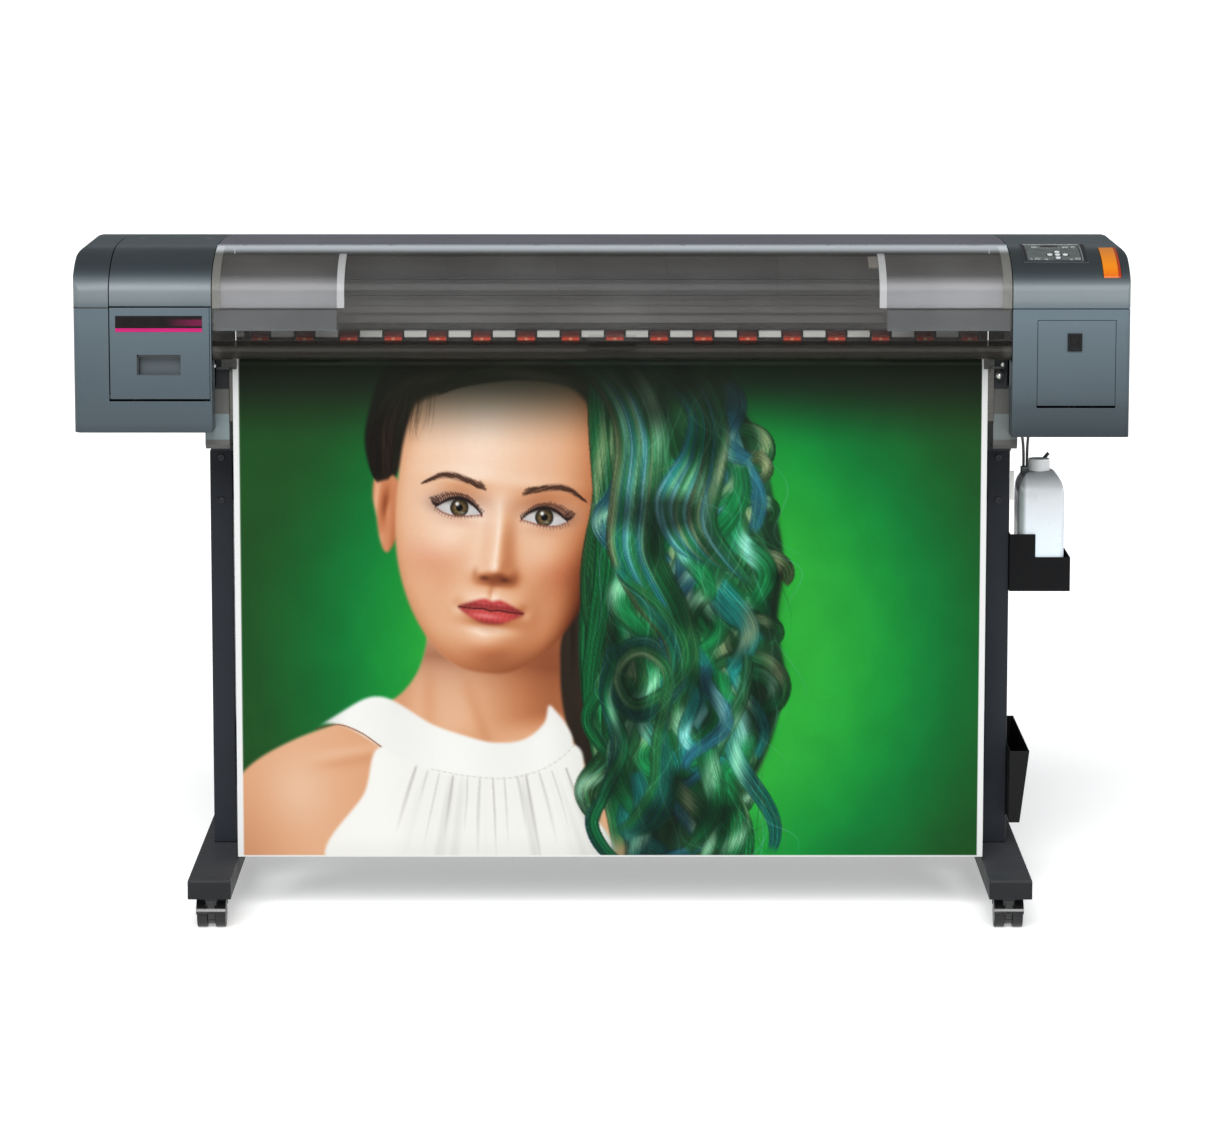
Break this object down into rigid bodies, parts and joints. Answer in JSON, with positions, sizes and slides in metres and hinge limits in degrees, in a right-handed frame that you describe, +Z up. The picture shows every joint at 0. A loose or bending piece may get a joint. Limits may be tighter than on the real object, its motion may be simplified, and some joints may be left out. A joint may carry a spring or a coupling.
{
  "type": "wide-format roll printer with sheet cutter",
  "caption": "Roll-fed wide-format inkjet printer on a wheeled stand, with smoked front cover, print carriage with sheet cutter, waste-ink bottle and a print hanging out in front.",
  "frame": {"origin": "on the floor, midway between the two ends of the printer body and between the front and back of the feet", "axes": "+Z up, +X towards the control panel end, -Y the side the print comes out of"},
  "size_m": [1.902, 0.78, 1.2261],
  "materials": {
    "stand_paint": "satin charcoal powder coat",
    "bracket_paint": "satin grey paint",
    "screw_steel": "polished",
    "bare_steel": "zinc plated",
    "gloss_black": "glossy moulded",
    "tyre_black": "nylon tread",
    "black_sheet": "satin black sheet metal",
    "bottle_plastic": "translucent polyethylene",
    "tube_rubber": "flexible tube",
    "cover_plastic": "fine grained blue-grey",
    "smoked_clear": "smoked transparent acrylic",
    "inner_grey": "satin grey",
    "aluminium": "anodised",
    "carriage_black": "matt",
    "belt_rubber": "toothed belt and roller rubber",
    "lever_red": "red-orange moulded",
    "key_silver": "silver painted",
    "lamp_orange": "translucent orange lens",
    "media_white": "white media",
    "print": "printed white media"
  },
  "bodies": {
    "root": {"left_foot": "stand_paint", "right_foot": "stand_paint", "left_post": "stand_paint", "right_post": "stand_paint", "lower_cross_beam": "stand_paint", "upper_cross_beam": "stand_paint", "post_brackets": "bracket_paint", "frame_screws": "screw_steel", "caster_plates": "bare_steel", "bottle_holder": "black_sheet", "drain_tubes": "tube_rubber", "tool_pocket": "black_sheet", "base_plate": "bare_steel", "side_frames": "bracket_paint", "left_end_cover": "cover_plastic", "left_top_cover": "cover_plastic", "right_cover": "cover_plastic", "right_top_cover": "cover_plastic", "rear_top_cover": "cover_plastic", "rear_cover": "cover_plastic", "inner_panels": "inner_grey", "platen": "aluminium", "exit_guide": "aluminium", "carriage_rail": "aluminium", "drive_belt": "belt_rubber", "control_panel": "gloss_black", "status_lamp": "lamp_orange", "ink_cartridges": "carriage_black", "roll_supports": "stand_paint", "printed_sheet": "print", "power_inlet": "carriage_black", "edge_clips": "screw_steel"},
    "caster_fl": {"caster_hood_fl": "gloss_black"},
    "caster_fr": {"caster_hood_fr": "gloss_black"},
    "caster_rl": {"caster_hood_rl": "gloss_black"},
    "caster_rr": {"caster_hood_rr": "gloss_black"},
    "wheels_fl": {"caster_wheels_fl": "tyre_black"},
    "wheels_fr": {"caster_wheels_fr": "tyre_black"},
    "wheels_rl": {"caster_wheels_rl": "tyre_black"},
    "wheels_rr": {"caster_wheels_rr": "tyre_black"},
    "bottle": {"waste_bottle": "bottle_plastic", "bottle_cap": "bottle_plastic"},
    "left_door": {"left_door": "cover_plastic"},
    "service_door": {"service_door": "cover_plastic"},
    "latch": {"door_latch": "gloss_black"},
    "front_cover": {"front_cover": "smoked_clear"},
    "carriage": {"carriage": "carriage_black"},
    "cutter": {"cutter_blade": "screw_steel"},
    "drive_pulley": {"drive_pulley": "aluminium"},
    "idler_pulley": {"idler_pulley": "aluminium"},
    "feed_roller": {"feed_roller": "bare_steel"},
    "pinch_rollers": {"pinch_rollers": "belt_rubber"},
    "pinch_levers": {"pinch_levers": "lever_red"},
    "key_up": {"key_up": "key_silver"},
    "key_down": {"key_down": "key_silver"},
    "key_left": {"key_left": "key_silver"},
    "key_right": {"key_right": "key_silver"},
    "key_enter": {"key_enter": "key_silver"},
    "media_roll": {"media_roll": "media_white"},
    "media_lever": {"media_lever": "inner_grey"}
  },
  "joints": [
    {"name": "swivel_fl", "type": "hinge", "parent": "root", "child": "caster_fl", "pos_m": [-0.709, -0.345, 0.06], "axis": [0, 0, 1], "continuous": true},
    {"name": "wheel_spin_fl", "type": "hinge", "parent": "caster_fl", "child": "wheels_fl", "pos_m": [-0.709, -0.328, 0.025], "axis": [1, 0, 0], "continuous": true},
    {"name": "swivel_fr", "type": "hinge", "parent": "root", "child": "caster_fr", "pos_m": [0.739, -0.345, 0.06], "axis": [0, 0, 1], "continuous": true},
    {"name": "wheel_spin_fr", "type": "hinge", "parent": "caster_fr", "child": "wheels_fr", "pos_m": [0.739, -0.328, 0.025], "axis": [1, 0, 0], "continuous": true},
    {"name": "swivel_rl", "type": "hinge", "parent": "root", "child": "caster_rl", "pos_m": [-0.709, 0.345, 0.06], "axis": [0, 0, 1], "continuous": true},
    {"name": "wheel_spin_rl", "type": "hinge", "parent": "caster_rl", "child": "wheels_rl", "pos_m": [-0.709, 0.362, 0.025], "axis": [1, 0, 0], "continuous": true},
    {"name": "swivel_rr", "type": "hinge", "parent": "root", "child": "caster_rr", "pos_m": [0.739, 0.345, 0.06], "axis": [0, 0, 1], "continuous": true},
    {"name": "wheel_spin_rr", "type": "hinge", "parent": "caster_rr", "child": "wheels_rr", "pos_m": [0.739, 0.362, 0.025], "axis": [1, 0, 0], "continuous": true},
    {"name": "bottle_lift", "type": "slide", "parent": "root", "child": "bottle", "axis": [0, 0, 1], "range_m": [0, 0.05], "deforming": ["drain_tubes"]},
    {"name": "left_door_swing", "type": "hinge", "parent": "root", "child": "left_door", "pos_m": [-0.794, -0.274, 0.964], "axis": [1, 0, 0], "range_deg": [0, 85]},
    {"name": "service_door_swing", "type": "hinge", "parent": "root", "child": "service_door", "pos_m": [0.8546, -0.274, 0.952], "axis": [1, 0, 0], "range_deg": [0, 85]},
    {"name": "latch_turn", "type": "hinge", "parent": "service_door", "child": "latch", "pos_m": [0.851, -0.28, 1.063], "axis": [0, -1, 0], "range_deg": [0, 90]},
    {"name": "front_cover_lift", "type": "hinge", "parent": "root", "child": "front_cover", "pos_m": [0.0185, -0.112, 1.2225], "axis": [-1, 0, 0], "range_deg": [0, 70]},
    {"name": "carriage_travel", "type": "slide", "parent": "root", "child": "carriage", "axis": [-1, 0, 0], "range_m": [0, 1.594]},
    {"name": "cutter_drop", "type": "slide", "parent": "carriage", "child": "cutter", "axis": [0, 0, -1], "range_m": [0, 0.004], "stiffness_N_per_m": 600, "springref_m": -0.003},
    {"name": "drive_pulley_spin", "type": "hinge", "parent": "root", "child": "drive_pulley", "pos_m": [0.84, 0.022, 1.134], "axis": [0, 1, 0], "continuous": true},
    {"name": "idler_pulley_spin", "type": "hinge", "parent": "root", "child": "idler_pulley", "pos_m": [-0.84, 0.022, 1.134], "axis": [0, 1, 0], "continuous": true},
    {"name": "feed_roller_spin", "type": "hinge", "parent": "root", "child": "feed_roller", "pos_m": [0.0155, 0, 1.015], "axis": [1, 0, 0], "continuous": true},
    {"name": "media_lever_lift", "type": "hinge", "parent": "root", "child": "media_lever", "pos_m": [0.715, -0.15, 1.018], "axis": [-1, 0, 0], "range_deg": [0, 40]},
    {"name": "pinch_lift", "type": "hinge", "parent": "root", "child": "pinch_levers", "pos_m": [0.018, 0.052, 1.048], "axis": [-1, 0, 0], "range_deg": [0, 6]},
    {"name": "pinch_spin", "type": "hinge", "parent": "pinch_levers", "child": "pinch_rollers", "pos_m": [0.024, 0, 1.039], "axis": [1, 0, 0], "continuous": true},
    {"name": "media_roll_spin", "type": "hinge", "parent": "root", "child": "media_roll", "pos_m": [0.015, 0.27, 0.76], "axis": [1, 0, 0], "continuous": true},
    {"name": "key_up_press", "type": "slide", "parent": "root", "child": "key_up", "axis": [0, 0.2588, -0.9659], "range_m": [0, 0.0008], "stiffness_N_per_m": 300, "springref_m": -0.0008},
    {"name": "key_down_press", "type": "slide", "parent": "root", "child": "key_down", "axis": [0, 0.2588, -0.9659], "range_m": [0, 0.0008], "stiffness_N_per_m": 300, "springref_m": -0.0008},
    {"name": "key_left_press", "type": "slide", "parent": "root", "child": "key_left", "axis": [0, 0.2588, -0.9659], "range_m": [0, 0.0008], "stiffness_N_per_m": 300, "springref_m": -0.0008},
    {"name": "key_right_press", "type": "slide", "parent": "root", "child": "key_right", "axis": [0, 0.2588, -0.9659], "range_m": [0, 0.0008], "stiffness_N_per_m": 300, "springref_m": -0.0008},
    {"name": "key_enter_press", "type": "slide", "parent": "root", "child": "key_enter", "axis": [0, 0.2588, -0.9659], "range_m": [0, 0.0008], "stiffness_N_per_m": 300, "springref_m": -0.0008}
  ],
  "couplings": [
    {"joint": "drive_pulley_spin", "follows": "carriage_travel", "rad_per_m": 66.667},
    {"joint": "idler_pulley_spin", "follows": "carriage_travel", "rad_per_m": 66.667},
    {"joint": "pinch_spin", "follows": "feed_roller_spin", "ratio": -1.9091},
    {"joint": "pinch_lift", "follows": "media_lever_lift", "ratio": 0.15}
  ]
}
